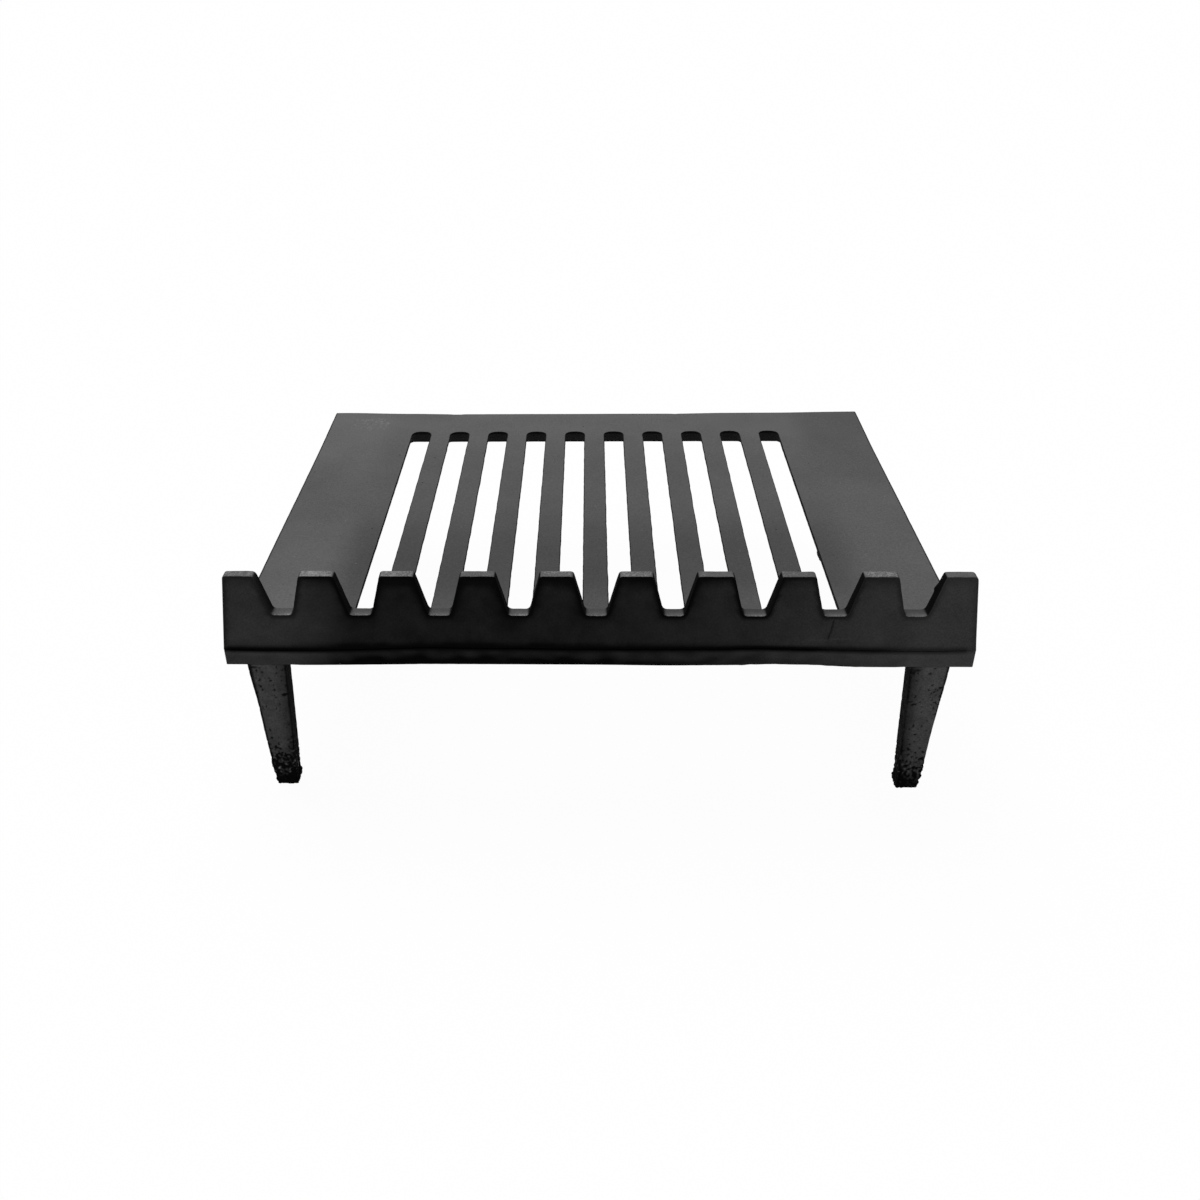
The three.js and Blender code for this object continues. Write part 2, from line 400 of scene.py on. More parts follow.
# The levels of its outer skin, from the top down: how far in, and how high.
outer_levels = [(joint_depth, bed_thickness), (outer_radius + 0.2, bed_thickness)]
outer_levels += [(inset, bed_thickness - down) for inset, down in lip(outer_radius)]
outer_levels += [(0.0, height) for height in (7.6, 6.2, 4.8, 3.4, 2.0)]
outer_levels += [(inset, down) for inset, down in reversed(lip(foot_radius, 3))]
outer_levels += [(foot_radius + support, 0.0)]
# Tones of parts painted evenly dark: painted shade along the rounded edges, in the holes
# and on the slots' walls and lips; the underside a little darker.
edge_shade_tone = -0.9
hole_tone = -0.8
slot_lip_shade_tone = -0.95
slot_wall_shade_tone = -0.62
underside_tone = -0.2


def outer_inset(place, inset, height):
    """How far in the bed's skin lies there, from its even inset and its wear."""
    worn = bed_edge_wear(place.x, place.y, height)
    if inset > outer_radius:
        worn = min(worn, 0.3)
    inwards = inset + worn
    if place.y < front_strip:
        inwards = min(inset, outer_radius + support) + worn
    under_fence = place.y < front_y + rebate_width + 0.5
    if under_fence and abs(place.x) > filled_x and height > 5.0:
        inwards = min(inwards, 0.1)
    beside = bed_width / 2 - abs(place.x) < plan_radius + 0.01
    if beside and bed_depth / 2 - abs(place.y) < plan_radius + 0.01:
        inwards = min(inwards, plan_radius - 0.05)
    return inwards


def outer_tone(place, inset, height):
    """The tone of the bed's skin there: painted shade on the front face, the edges and the top.
    """
    x, y = place
    if y < front_strip:
        # Painted shade in the joint and over the front face, darker towards its foot, with
        # random blotches and a pale patch.
        in_crease = smooth_step(8.9, 9.6, height) * crease_painted_shade(x)
        lower = 0.25 * smooth_step(7.0, 1.0, height) * (0.2 + 0.8 * front_painted_shade(x))
        pale_patch = -0.3 * hump(x, 168.5, 3.5, power=4)
        blotch = 0.2 * wander((x, height * 2.0, 0.0), 9.0, 25.0)
        shade_and_soot = 0.83 * front_painted_shade(x) + lower + pale_patch + blotch
        return -min(max(in_crease, shade_and_soot), 1.0)
    return edge_shade_tone if inset < 1.0 else bed_top_painted_shade(x, y)


outer_rings = []
for inset, height in outer_levels:
    ring = []
    tone = []
    for place, away in outer_line:
        ring.append(bed_point(place - away * outer_inset(place, inset, height), height))
        tone.append(outer_tone(place, inset, height))
    outer_rings.append(bed.ring(ring, tone))
for ring, below in zip(outer_rings, outer_rings[1:]):
    bed.wall(ring, below)

# The levels of a slot's skin: how much wider than at its narrowest, and how high.
slot_lip = 0.6
slot_levels = [(slot_lip + support, bed_thickness)]
slot_levels += [(inset, bed_thickness - down) for inset, down in lip(slot_lip, 3)]
for height in (7.5, 5.0, 2.5, 0.5):
    slot_levels.append((slot_flare * (1 - height / (bed_thickness - slot_lip)), height))
slot_levels += [(slot_flare + 0.3, 0.0), (slot_flare + 0.3 + support, 0.0)]
top_holes = []
under_holes = []
for number in range(slot_count):
    middle_x = (number - (slot_count - 1) / 2) * slot_pitch
    raggedness = 0.10 + 0.32 * abs(wander((number * 7.3, 0.0, 0.0), 3.0, 5.0))
    rings = []
    for widening, height in slot_levels:
        ring = []
        for place, away in slot_line(middle_x):
            ripple = raggedness * wander((place.x, place.y, height * 0.3), 7.5, 7.0)
            ripple += 0.12 * wander((place.x, place.y, height), 2.6, 8.0)
            squareness = 2.6 + 0.54 * (bed_thickness - height)
            reach = (slot_radius + widening + ripple) * squared(away, squareness)
            out = away * (reach - slot_radius)
            out.x -= away.x * (slot_flare - slot_side_flare) * widening / slot_flare
            ring.append(bed_point(place + out, height))
        # The slots' lips and walls get painted shade.
        on_wall = 1.0 < height < 9.0
        on_top = widening > slot_lip and height > 9.9
        tone = 0.0 if on_top else slot_wall_shade_tone if on_wall else slot_lip_shade_tone
        rings.append(bed.ring(ring, tone))
    for ring, below in zip(rings, rings[1:]):
        bed.wall(ring, below)
    top_holes.append(rings[0])
    under_holes.append(rings[-1])

mortise_line = rounded_rectangle(*mortise_half, radius=0.5, spacing=4.0, steps=2)
for x in mortise_x:
    places = [place + Vector((x, mortise_y)) for place, away in mortise_line]
    rings = []
    for height in (bed_thickness, bed_thickness / 2, 0.0):
        rings.append(bed.ring([bed_point(p, height) for p in places], hole_tone))
    bed.wall(rings[0], rings[1])
    bed.wall(rings[1], rings[2])
    top_holes.append(rings[0])
    under_holes.append(rings[2])

socket_line = rounded_rectangle(*socket_half, radius=0.5, spacing=4.0, steps=2)
ceiling = underside + socket_depth
for side_x in (-1, 1):
    for leg_y in leg_rows:
        middle = Vector((side_x * leg_x, leg_y))
        places = [place + middle for place, away in socket_line]
        mouth = bed.ring([(p.x, p.y, underside) for p in places], hole_tone)
        end = bed.ring([(p.x, p.y, ceiling) for p in places], hole_tone)
        bed.wall(mouth, end)
        bed.cap(end, (middle.x, middle.y, ceiling), hole_tone)
        under_holes.append(mouth)


def slot_gap(x, y):
    """How far a place in plan is from the nearest slot's middle line."""
    across = (x / slot_pitch + slot_count / 2) % 1.0 - 0.5
    if abs(x) > slot_pitch * slot_count / 2:
        across = (abs(x) - slot_pitch * (slot_count - 1) / 2) / slot_pitch
    beyond = max(abs(y) - (slot_half_length - slot_radius), 0.0)
    return math.hypot(across * slot_pitch, beyond)


def near_leg(x, y, half_x, half_y):
    """True for a place in plan that lies so near to a leg's middle."""
    return abs(abs(x) - leg_x) < half_x and min(abs(y - leg_y) for leg_y in leg_rows) < half_y


def bed_grid(spacing, keep_slot, keep_edge):
    """Places spread over the bed, clear of its slots, mortises and edges."""
    places = []
    rows = int(bed_depth / spacing)
    columns = int(bed_width / spacing)
    for row in range(rows + 1):
        for column in range(columns + 1):
            x = (column - columns / 2 + (row % 2) / 2) * spacing
            y = (row - rows / 2) * spacing
            x += 0.25 * spacing * wander((x, y, 0.0), 1.7, 11.0)
            y += 0.25 * spacing * wander((x, y, 0.0), 1.7, 12.0)
            edge_gap = min(bed_width / 2 - abs(x), bed_depth / 2 - abs(y))
            mortise_gap = min(abs(x - mortise) for mortise in mortise_x)
            by_mortise = mortise_gap < mortise_half[0] + 1.0 and abs(y - mortise_y) < 4.0
            if edge_gap > keep_edge and slot_gap(x, y) > keep_slot and not by_mortise:
                places.append((x, y))
    return places


top_inner = []
slot_edge = slot_radius + slot_lip + support
for x, y in bed_grid(spacing=3.6, keep_slot=slot_edge + 1.0, keep_edge=3.2):
    by_step = abs(y - front_y - rebate_width - 0.1) <= 1.2
    by_joint = y < front_y + 3.0
    by_scabs = x < -148.0 and y > 124.0
    if not (by_step or by_joint or by_scabs):
        top_inner.append((x, y))
# The scabs need a finer net.
net_corner = (-194.0, 125.0)
net_columns = 45
net_rows = 31
for row in range(net_rows):
    for column in range(net_columns):
        x = net_corner[0] + column * 1.05 + (row % 2) * 0.5
        top_inner.append((x, net_corner[1] + row * 1.15))
# Rows of points keep the rebate's step and the joint's rear edge sharp.
sharp_rows = (rebate_width - 0.02, rebate_width + 0.22, joint_depth + 0.02, joint_depth + 0.52)
row_count = 130
row_spacing = 3.05
for number in range(row_count):
    x = (number - (row_count - 1) / 2) * row_spacing
    top_inner += [(x, front_y + row) for row in sharp_rows]

# Bright flecks of scale, most of them anywhere, and a few sooty pinholes.
fleck_count = 26
flecks = []
random.seed(7)
while len(flecks) < fleck_count:
    x = random.uniform(-192.0, 192.0)
    y = random.uniform(-125.0, 120.0)
    if slot_gap(x, y) > slot_radius + 3.0 and all(abs(x - f[0]) > 6.0 for f in flecks):
        flecks.append((x, y))
flecks += [(165.2, -116.0), (166.0, -114.8), (167.2, -114.6), (168.4, -115.2), (169.2, -114.4)]
flecks += [(154.7, 42.8), (176.9, 59.6)]
pinholes = [(169.0, 112.7), (143.9, -59.8), (177.7, 70.2), (140.2, 97.6)]
flecks = [f for f in flecks if all(math.dist(f, hole) > 3.0 for hole in pinholes)] + pinholes
top_inner = [p for p in top_inner if all(math.dist(p, f) > 1.6 for f in flecks)]
fleck_radius = 0.5
fleck_height = 0.12
pinhole_depth = 0.2
for x, y in flecks:
    for turn in range(6):
        angle = turn * math.pi / 3
        around = (x + fleck_radius * math.cos(angle), y + fleck_radius * math.sin(angle))
        if all(math.dist(around, f) > fleck_radius + 0.1 or f == (x, y) for f in flecks):
            top_inner.append(around)
top_inner += flecks
top_numbers = bed.ring([bed_point(p, bed_thickness) for p in top_inner])
fleck_numbers = top_numbers[-len(flecks):]
for number in top_numbers + [n for ring in top_holes[:slot_count] for n in ring]:
    x, y, z = bed.points[number]
    scab = bed_scabs(x, y)
    bed.tone[number] = bed_top_painted_shade(x, y) if scab < 0.08 else min(0.1 + 1.2 * scab, 0.4)
for number in fleck_numbers[:-len(pinholes)]:
    bed.points[number].z += fleck_height
    bed.tone[number] = 1.0
for number in fleck_numbers[-len(pinholes):]:
    bed.points[number].z -= pinhole_depth
    bed.tone[number] = -0.98
bed.skin([outer_rings[0]] + top_holes, top_numbers, lambda p: p.xy)

under_inner = []
slot_foot = slot_radius + slot_flare
for x, y in bed_grid(spacing=4.6, keep_slot=slot_foot + 2.2, keep_edge=3.0):
    if not near_leg(x, y, socket_half[0] + 1.0, socket_half[1] + 1.0):
        wave = 0.22 + 0.28 * wander((x, y, 0.0), 9.0, 13.0)
        lift = 0.0 if near_leg(x, y, 14.0, 12.0) else max(wave, 0.0)
        under_inner.append((x, y, underside + lift + foot_lift(x, y)))
under_numbers = bed.ring(under_inner, underside_tone)
bed.skin([outer_rings[-1]] + under_holes, under_numbers, lambda p: p.xy)


def node_group(name, inputs, outputs):
    """A new shader node group: its tree, and the nodes that hold its sockets."""
    tree = bpy.data.node_groups.new(name, "ShaderNodeTree")
    for label, kind, value in inputs:
        socket = tree.interface.new_socket(label, in_out="INPUT", socket_type=kind)
        socket.default_value = value
    for label, kind in outputs:
        tree.interface.new_socket(label, in_out="OUTPUT", socket_type=kind)
    taken = tree.nodes.new("NodeGroupInput")
    given = tree.nodes.new("NodeGroupOutput")
    return tree, taken.outputs, given.inputs


def feed(tree, socket, value):
    """Sets an input to a value, or links it to an output."""
    if isinstance(value, bpy.types.NodeSocket):
        tree.links.new(value, socket)
    else:
        socket.default_value = value


def math_node(tree, operation, *values):
    """The result of one sum on values or outputs."""
    node = tree.nodes.new("ShaderNodeMath")
    node.operation = operation
    for socket, value in zip(node.inputs, values):
        feed(tree, socket, value)
    return node.outputs["Value"]


def ramp_node(tree, value, low, high, to_low=0.0, to_high=1.0):
    """A soft step: to_low where value is under low, to_high where it is over high."""
    node = tree.nodes.new("ShaderNodeMapRange")
    node.interpolation_type = "SMOOTHSTEP"
    feed(tree, node.inputs["Value"], value)
    node.inputs["From Min"].default_value = low
    node.inputs["From Max"].default_value = high
    node.inputs["To Min"].default_value = to_low
    node.inputs["To Max"].default_value = to_high
    return node.outputs["Result"]


def mix_colour(tree, share, first, second):
    """The first colour where share is 0, and the second where it is 1."""
    node = tree.nodes.new("ShaderNodeMix")
    node.data_type = "RGBA"
    feed(tree, node.inputs["Factor"], share)
    feed(tree, node.inputs["A"], first)
    feed(tree, node.inputs["B"], second)
    return node.outputs["Result"]


def grain_node(tree, where, size, detail, roughness=0.55):
    """Noise whose lumps are about that size in millimetres."""
    node = tree.nodes.new("ShaderNodeTexNoise")
    feed(tree, node.inputs["Vector"], where)
    feed(tree, node.inputs["Scale"], math_node(tree, "DIVIDE", 1.0 / MM, size))
    node.inputs["Detail"].default_value = detail
    node.inputs["Roughness"].default_value = roughness
    return node.outputs["Fac"]


def make_cast_skin():
    """The skin that iron takes from the sand: fine grain, soft waves and pinholes."""
    tree, taken, given = node_group(
        "cast_skin",
        (
            ("Grain Size", "NodeSocketFloat", 0.9),
            ("Pit Size", "NodeSocketFloat", 2.4),
            ("Pit Share", "NodeSocketFloat", 0.05),
        ),
        (("Height", "NodeSocketFloat"), ("Pits", "NodeSocketFloat")),
    )
    where = tree.nodes.new("ShaderNodeTexCoord").outputs["Object"]
    grain = grain_node(tree, where, taken["Grain Size"], 3.0, 0.6)
    wave_size = math_node(tree, "MULTIPLY", taken["Grain Size"], 7.0)
    wave = grain_node(tree, where, wave_size, 1.0)
    cells = tree.nodes.new("ShaderNodeTexVoronoi")
    feed(tree, cells.inputs["Vector"], where)
    pit_scale = math_node(tree, "DIVIDE", 1.0 / MM, taken["Pit Size"])
    feed(tree, cells.inputs["Scale"], pit_scale)
    chance = tree.nodes.new("ShaderNodeSeparateColor")
    feed(tree, chance.inputs["Color"], cells.outputs["Color"])
    chosen = math_node(tree, "LESS_THAN", chance.outputs["Red"], taken["Pit Share"])
    hollow = ramp_node(tree, cells.outputs["Distance"], 0.12, 0.42, 1.0, 0.0)
    pits = math_node(tree, "MULTIPLY", chosen, hollow)
    height = math_node(tree, "MULTIPLY_ADD", wave, 0.9, grain)
    height = math_node(tree, "SUBTRACT", height, pits)
    feed(tree, given["Height"], height)
    feed(tree, given["Pits"], pits)
    return tree


def make_stove_paint():
    """Matt stove paint: near black, paler on what faces up as painted light from above with some
    dust and scale, thin and grey where it is rubbed or carries a painted highlight, and dark
    where soot gathers or painted shade lies."""
    tree, taken, given = node_group(
        "stove_paint",
        (
            ("Paint", "NodeSocketColor", (0.03, 0.03, 0.03, 1.0)),
            ("Dust And Top Light", "NodeSocketColor", (0.1, 0.1, 0.1, 1.0)),
            ("Bare Iron And Highlight", "NodeSocketColor", (0.2, 0.2, 0.2, 1.0)),
            ("Shade And Soot", "NodeSocketColor", (0.002, 0.002, 0.002, 1.0)),
            ("Mottle Size", "NodeSocketFloat", 30.0),
            ("Mottle", "NodeSocketFloat", 0.2),
            ("Speck Size", "NodeSocketFloat", 0.7),
            ("Speck", "NodeSocketFloat", 0.15),
            ("Pits", "NodeSocketFloat", 0.0),
        ),
        (("Color", "NodeSocketColor"), ("Dullness", "NodeSocketFloat")),
    )
    where = tree.nodes.new("ShaderNodeTexCoord").outputs["Object"]
    facing = tree.nodes.new("ShaderNodeSeparateXYZ")
    geometry = tree.nodes.new("ShaderNodeNewGeometry")
    feed(tree, facing.inputs["Vector"], geometry.outputs["Normal"])
    tone = tree.nodes.new("ShaderNodeAttribute")
    tone.attribute_name = "tone"
    tone = tone.outputs["Fac"]

    mottle = grain_node(tree, where, taken["Mottle Size"], 2.0)
    mottle = math_node(tree, "SUBTRACT", mottle, 0.5)
    mottle = math_node(tree, "MULTIPLY", mottle, taken["Mottle"])
    speck = grain_node(tree, where, taken["Speck Size"], 2.0, 0.7)
    speck = math_node(tree, "SUBTRACT", speck, 0.5)
    speck = math_node(tree, "MULTIPLY", speck, taken["Speck"])
    uneven = math_node(tree, "ADD", mottle, speck)
    bright = math_node(tree, "ADD", uneven, 1.0)

    # What faces up is painted paler: painted light from above, with some dust.
    up_light_and_dust = ramp_node(tree, facing.outputs["Z"], 0.35, 0.95)
    colour = mix_colour(tree, up_light_and_dust, taken["Paint"], taken["Dust And Top Light"])
    rubbed_and_highlit = math_node(tree, "MULTIPLY_ADD", uneven, 2.0, tone)
    rubbed_and_highlit = ramp_node(tree, rubbed_and_highlit, 0.15, 1.0)
    worn = math_node(tree, "GREATER_THAN", tone, 0.01)
    rubbed_and_highlit = math_node(tree, "MULTIPLY", rubbed_and_highlit, worn)
    colour = mix_colour(tree, rubbed_and_highlit, colour, taken["Bare Iron And Highlight"])
    shade_and_soot = math_node(tree, "MULTIPLY", tone, -1.0)
    shade_and_soot = math_node(tree, "MAXIMUM", shade_and_soot, taken["Pits"])
    colour = mix_colour(tree, shade_and_soot, colour, taken["Shade And Soot"])
    scaled = tree.nodes.new("ShaderNodeVectorMath")
    scaled.operation = "SCALE"
    feed(tree, scaled.inputs["Vector"], colour)
    feed(tree, scaled.inputs["Scale"], bright)
    feed(tree, given["Color"], scaled.outputs["Vector"])
    dullness = math_node(tree, "MULTIPLY_ADD", uneven, 0.25, 0.84)
    dullness = math_node(tree, "MULTIPLY_ADD", rubbed_and_highlit, -0.14, dullness)
    feed(tree, given["Dullness"], dullness)
    return tree


cast_skin = make_cast_skin()
stove_paint = make_stove_paint()


def painted_iron(name, skin_values, paint_values, relief):
    """A painted cast-iron material. relief is how deep the skin is, in millimetres."""
    material = bpy.data.materials.new(name)
    material.use_nodes = True
    tree = material.node_tree
    shader = tree.nodes["Principled BSDF"]
    skin = tree.nodes.new("ShaderNodeGroup")
    skin.node_tree = cast_skin
    for label, value in skin_values.items():
        skin.inputs[label].default_value = value
    paint = tree.nodes.new("ShaderNodeGroup")
    paint.node_tree = stove_paint
    for label, value in paint_values.items():
        if not isinstance(value, float):
            value = (*value, 1.0)
        paint.inputs[label].default_value = value
    bump = tree.nodes.new("ShaderNodeBump")
    bump.inputs["Distance"].default_value = relief * MM
    tree.links.new(skin.outputs["Height"], bump.inputs["Height"])
    tree.links.new(skin.outputs["Pits"], paint.inputs["Pits"])
    tree.links.new(paint.outputs["Color"], shader.inputs["Base Color"])
    tree.links.new(paint.outputs["Dullness"], shader.inputs["Roughness"])
    tree.links.new(bump.outputs["Normal"], shader.inputs["Normal"])
    shader.inputs["Specular IOR Level"].default_value = 0.02
    return material


bed_iron = painted_iron(
    "bed_iron",
    {"Grain Size": 0.8, "Pit Size": 2.0, "Pit Share": 0.0015},
    {
        "Paint": (0.060, 0.060, 0.060),
        "Dust And Top Light": (0.117, 0.117, 0.117),
        "Bare Iron And Highlight": (0.18, 0.18, 0.18),
        "Mottle Size": 40.0,
        "Mottle": 0.3,
        "Speck Size": 0.9,
        "Speck": 0.9,
    },
    relief=0.06,
)
slotted_bed = bed.finish("slotted_bed_casting", bed_iron)
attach(slotted_bed, "root")
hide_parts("slotted_bed")

# ---------------------------------------------------------------- fence
# The fence is a second casting, a low wall with ten teeth that keeps the logs in.
# It gets thinner upwards, stands in the bed's rebate, and three lugs on its foot
# drop into the bed's mortises. Its front is flush with the bed's front edge.
seat = bed_top - rebate_drop + 0.4  # the lugs' shoulders leave a fine slit
fence_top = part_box("front_fence")[1].z / MM
foot_thickness = 8.8
top_thickness = 5.9
end_lean = 6.5
notch_count = 9
notch_pitch = 41.3
notch_top = 23.4
notch_floor = 11.4
notch_depth = 23.8
notch_radius = 2.4
tooth_radius = 1.8
worn_radius = 1.4 * tooth_radius  # by the first notch, and at the fence's right end
crisp_radius = 1.35  # the left corners of the right half's teeth
# The pattern was cut by hand: how far each notch's two sides are off true.
notch_left_off = (-0.3, -0.1, 0.2, 0.9, 0.0, -0.4, -0.3, -0.2, 0.3)
notch_right_off = (-0.5, 0.2, 0.5, 0.4, 0.0, -1.1, 0.3, 0.5, 0.5)


def fence_corners():
    """The fence's front view: its corners over the teeth, each with its radius."""
    half_top = bed_width / 2 - end_lean
    floor_z = fence_top - notch_depth
    corners = [(Vector((-half_top, fence_top)), tooth_radius)]
    for i in range(notch_count):
        middle = (i - (notch_count - 1) / 2) * notch_pitch
        left = middle - notch_top / 2 + notch_left_off[i]
        right = middle + notch_top / 2 + notch_right_off[i]
        slope = (notch_top - notch_floor) / 2
        corners.append((Vector((left, fence_top)), worn_radius if i == 0 else tooth_radius))
        corners.append((Vector((left + slope, floor_z)), notch_radius))
        corners.append((Vector((right - slope, floor_z)), notch_radius))
        right_radius = tooth_radius if i <= notch_count // 2 else crisp_radius
        corners.append((Vector((right, fence_top)), right_radius))
    corners.append((Vector((half_top, fence_top)), worn_radius))
    return corners


def fence_line(spacing=1.9, corner_steps=5):
    """The fence's outline from its foot's left end over the teeth to the right end,
    and how many points that is; then on along the foot, back to the start."""
    corners = fence_corners()
    start = Vector((-bed_width / 2, seat))
    end = Vector((bed_width / 2, seat))
    stops = [start] + [c[0] for c in corners] + [end]
    line = [start]
    for i, (corner, radius) in enumerate(corners):
        before = (stops[i] - corner).normalized()
        after = (stops[i + 2] - corner).normalized()
        enter = corner + before * radius
        leave = corner + after * radius
        run = (enter - line[-1]).length
        pieces = max(1, round(run / spacing))
        origin = line[-1]
        line += [origin.lerp(enter, step / pieces) for step in range(1, pieces + 1)]
        for step in range(1, corner_steps + 1):
            share = step / corner_steps
            line.append(enter.lerp(corner, share).lerp(corner.lerp(leave, share), share))
    pieces = round((end - line[-1]).length / spacing)
    origin = line[-1]
    line += [origin.lerp(end, step / pieces) for step in range(1, pieces + 1)]
    upper_count = len(line)
    pieces = round(bed_width / spacing)
    line += [end.lerp(start, step / pieces) for step in range(1, pieces)]
    return line, upper_count


def inward(line):
    """For each point of the closed line, the way in that keeps an even distance."""
    ways = []
    count = len(line)
    for i in range(count):
        arriving = (line[i] - line[i - 1]).normalized()
        onward = (line[(i + 1) % count] - line[i]).normalized()
        middle = (arriving + onward).normalized()
        way = Vector((middle.y, -middle.x))
        ways.append(way / max(0.5, way.dot(Vector((onward.y, -onward.x)))))
    return ways


def fence_rear(z):
    """Where the leaning rear face is at that height."""
    rise = (z - seat) / (fence_top - seat)
    return front_y + foot_thickness - rise * (foot_thickness - top_thickness)


fence = Casting()
outline, upper_count = fence_line()
ways_in = inward(outline)
arris = 0.65
rear_arris = 0.45
# The levels of its skin, from front to rear: how far in from the outline, at what
# share of the thickness, and how far behind that.
fence_levels = [(arris + support, 0.0, 0.0)]
fence_levels += [(inset, 0.0, down) for inset, down in lip(arris)]
front_rim = len(fence_levels) - 1  # the first level that has the outline's full size
fence_levels += [(0.0, 0.35, 0.0), (0.0, 0.65, 0.0)]
rear_rim = len(fence_levels)  # and the last
fence_levels += [(inset, 1.0, -down) for inset, down in reversed(lip(rear_arris))]
fence_levels += [(rear_arris + 2 * support, 1.0, 0.0)]
plain_tone = -0.4  # the rear face, and what sits in the bed
# How pale each tooth's top has been rubbed by logs, and the painted highlight on the
# notches' floors, from their front edge backwards.
tooth_rub = (0.35, 0.62, 0.50, 0.15, 0.42, 0.38, -0.05, 0.18, 0.40, -0.05)
notch_floor_highlight = (1.0, 0.75, 0.1, -0.1, -0.2)
bow_reach = 8.0  # how far up the fence follows the bed's bow
# A burr on the last notch's right side, by the fence's rear.
burr_place = (174.9, bed_top + 35.5)
burr_radius = 1.8
burr_height = 0.9


def fence_point(place, way, inset, share, step_in):
    """A point of the fence: inset from its outline, at a share of its thickness."""
    x, z = place
    on_top = smooth_step(fence_top - 3.0, fence_top - 0.5, z)
    worn = 0.03 + 0.09 * wander((x, z, share * 3.0), 6.0, 15.0)
    worn += 0.03 + 0.09 * wander((x, z, share * 6.0), 1.9, 16.0)
    worn += on_top * 0.06 * (1.0 + wander((x, z, share * 4.0), 4.0, 17.0))
    from_burr = math.hypot(x - burr_place[0], z - burr_place[1])
    burr = burr_height * smooth_step(0.5, 1.0, share) * hump(from_burr, 0.0, burr_radius)
    worn = min(max(worn, 0.0), 0.3) - burr
    on_foot = z < seat + 0.01
    if on_foot or abs(x) > bed_width / 2 - end_lean - 0.1:
        worn = 0.0
    if on_foot and abs(x) > filled_x:
        inset = min(inset, 0.1)
    place = place + way * (inset + worn)
    rear = fence_rear(place.y)
    y = front_y + share * (rear - front_y) + step_in
    bow = crease_lift(x, y) * smooth_step(seat + bow_reach, seat, z)
    return place.x, y, place.y + bow


def face_edge_painted_shade(x, distance):
    """Painted shade along the front face's edges, and least at its right end."""
    return 0.6 * (0.35 + 0.65 * front_painted_shade(x)) * math.exp(-distance / 1.7)


def rim_tone(x, z, way, level):
    """The tone of the fence's outline at a level, counted from front to rear."""
    if z < seat + 0.01:
        return -crease_painted_shade(x) if level <= front_rim else plain_tone
    behind = level - front_rim + 1
    # The front rim is painted dark with the front's painted shade.
    if behind < 0:
        at_face = 0.76 * front_painted_shade(x) + face_edge_painted_shade(x, 0.5 + 0.2 * level)
        return -min(at_face + 0.2, 0.99)
    if level > rear_rim + 2:
        return plain_tone
    if z > fence_top - 2.0:
        tooth = int((x + bed_width / 2) / bed_width * len(tooth_rub))
        pale = tooth_rub[min(tooth, len(tooth_rub) - 1)]
        pale += 0.25 * wander((x, level, 0.0), 3.0, 14.0)
    else:
        pale = notch_floor_highlight[min(behind, len(notch_floor_highlight) - 1)]
        pale -= 0.2 * front_painted_shade(x) + 0.3 * smooth_step(-20.0, 120.0, x)
    # The notches' sides are painted near black as painted shade; on the left half, painted light
    # makes them paler near the front.
    lit = (1.0 - front_painted_shade(x)) * max(0.0, 1.0 - behind / 4) if x < 0 else 0.0
    is_level = smooth_step(0.75, 0.35, abs(way.normalized().x))
    return is_level * pale - (1.0 - is_level) * (0.99 - 0.52 * lit)


fence_rings = []
for level, (inset, share, step_in) in enumerate(fence_levels):
    ring = []
    tone = []
    for place, way in zip(outline, ways_in):
        ring.append(fence_point(place, way, inset, share, step_in))
        tone.append(rim_tone(place.x, place.y, way, level))
    fence_rings.append(fence.ring(ring, tone))
for level, (ring, behind) in enumerate(zip(fence_rings, fence_rings[1:])):
    if front_rim <= level < rear_rim:
        fence.wall(ring[:upper_count], behind[:upper_count], closed=False)
    else:
        fence.wall(ring, behind)

# The foot's flat is one face from rim to rim, with the three lugs standing in it.
foot_front = fence_rings[front_rim]
foot_rear = fence_rings[rear_rim]
foot_between = fence_rings[front_rim + 1:rear_rim]
foot_loop = foot_front[upper_count - 1:] + [foot_front[0]]
foot_loop += [ring[0] for ring in foot_between]
foot_loop += [foot_rear[0]] + foot_rear[:upper_count - 2:-1]
foot_loop += [ring[upper_count - 1] for ring in reversed(foot_between)]
lug_mouths = []
lug_half = (12.0, 2.0)
lug_line = rounded_rectangle(*lug_half, radius=0.4, spacing=4.0, steps=2)
lug_bevel = 0.3
for x in mortise_x:
    places = [place + Vector((x, mortise_y)) for place, away in lug_line]
    mouth = fence.ring([(p.x, p.y, seat) for p in places], plain_tone)
    end = fence.ring([(p.x, p.y, underside + lug_bevel) for p in places], plain_tone)
    tip = [(x + (p.x - x) * 0.98, mortise_y + (p.y - mortise_y) * 0.86) for p in places]
    tip = fence.ring([(*p, underside) for p in tip], plain_tone)
    fence.wall(mouth, end)
    fence.wall(end, tip)
    fence.cap(tip, (x, mortise_y, underside), plain_tone)
    lug_mouths.append(mouth)
fence.skin([foot_loop] + lug_mouths, [], lambda p: p.xy)


def fence_grid(spacing, keep):
    """Places spread over the fence's face, clear of its outline."""
    places = []
    rows = int((fence_top - seat) / spacing) + 1
    columns = int(bed_width / spacing) + 1
    for row in range(rows):
        for column in range(columns):
            x = -bed_width / 2 + (column + (row % 2) / 2) * spacing
            z = seat + (row + 0.5) * spacing
            place = Vector((x, z))
            distance = min((p - place).length for p in outline)
            if distance > keep and encloses(outline, place):
                places.append((x, z))
    return places


mark_x = 122.0  # where the two flow marks under the eighth notch cross
mark_z = bed_top + 6.9


def seam_x(z):
    """Where the upright flow mark runs."""
    return mark_x + 0.14 * (z - bed_top - 8.0) + 0.6 * wander((z, 0.0, 0.0), 3.0, 19.0)


